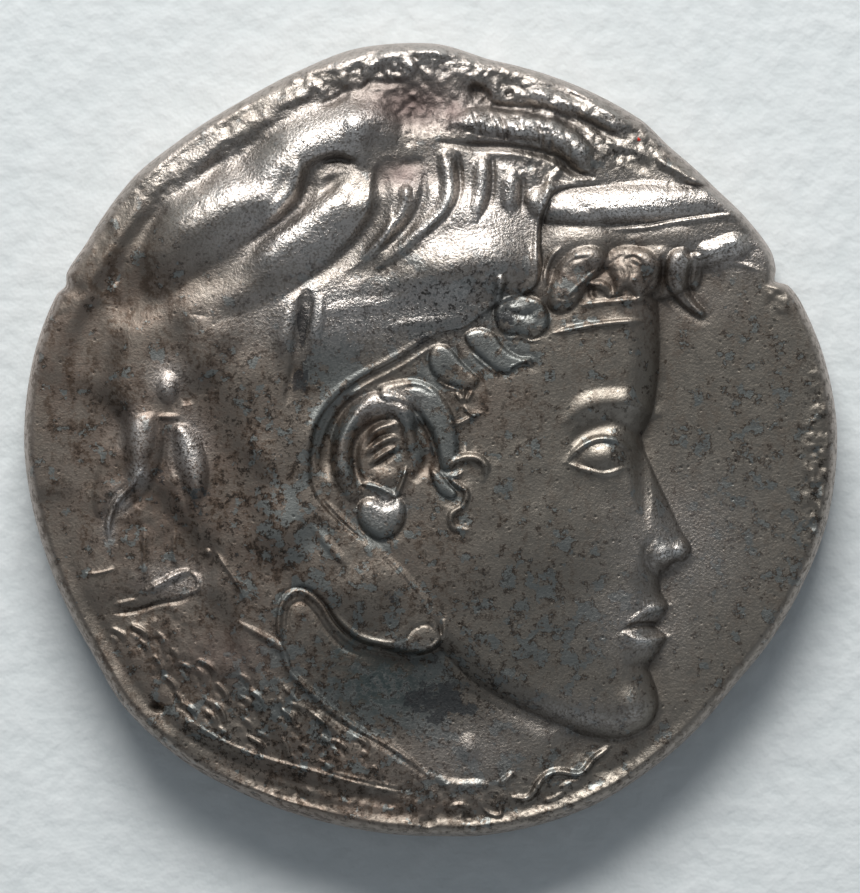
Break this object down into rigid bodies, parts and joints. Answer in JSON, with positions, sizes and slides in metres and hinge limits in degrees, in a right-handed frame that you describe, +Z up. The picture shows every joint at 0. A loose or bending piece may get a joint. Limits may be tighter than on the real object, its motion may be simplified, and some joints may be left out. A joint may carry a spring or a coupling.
{
  "type": "ancient silver tetradrachm coin",
  "caption": "Struck silver coin: a youthful head in an elephant hide in high relief on an irregular thick flan, with a low relief figure under it.",
  "frame": {"origin": "middle of the coin's box, on the plane that it lies on", "axes": "+Z up out of the obverse, +Y towards the top of the head, +X towards the side that the face looks to"},
  "size_m": [0.0272, 0.0264, 0.004],
  "materials": {
    "aged_silver": "aged silver, worn bright on the high points, dark brown to black tarnish in the recesses"
  },
  "bodies": {
    "root": {"coin": "aged_silver"}
  },
  "joints": []
}
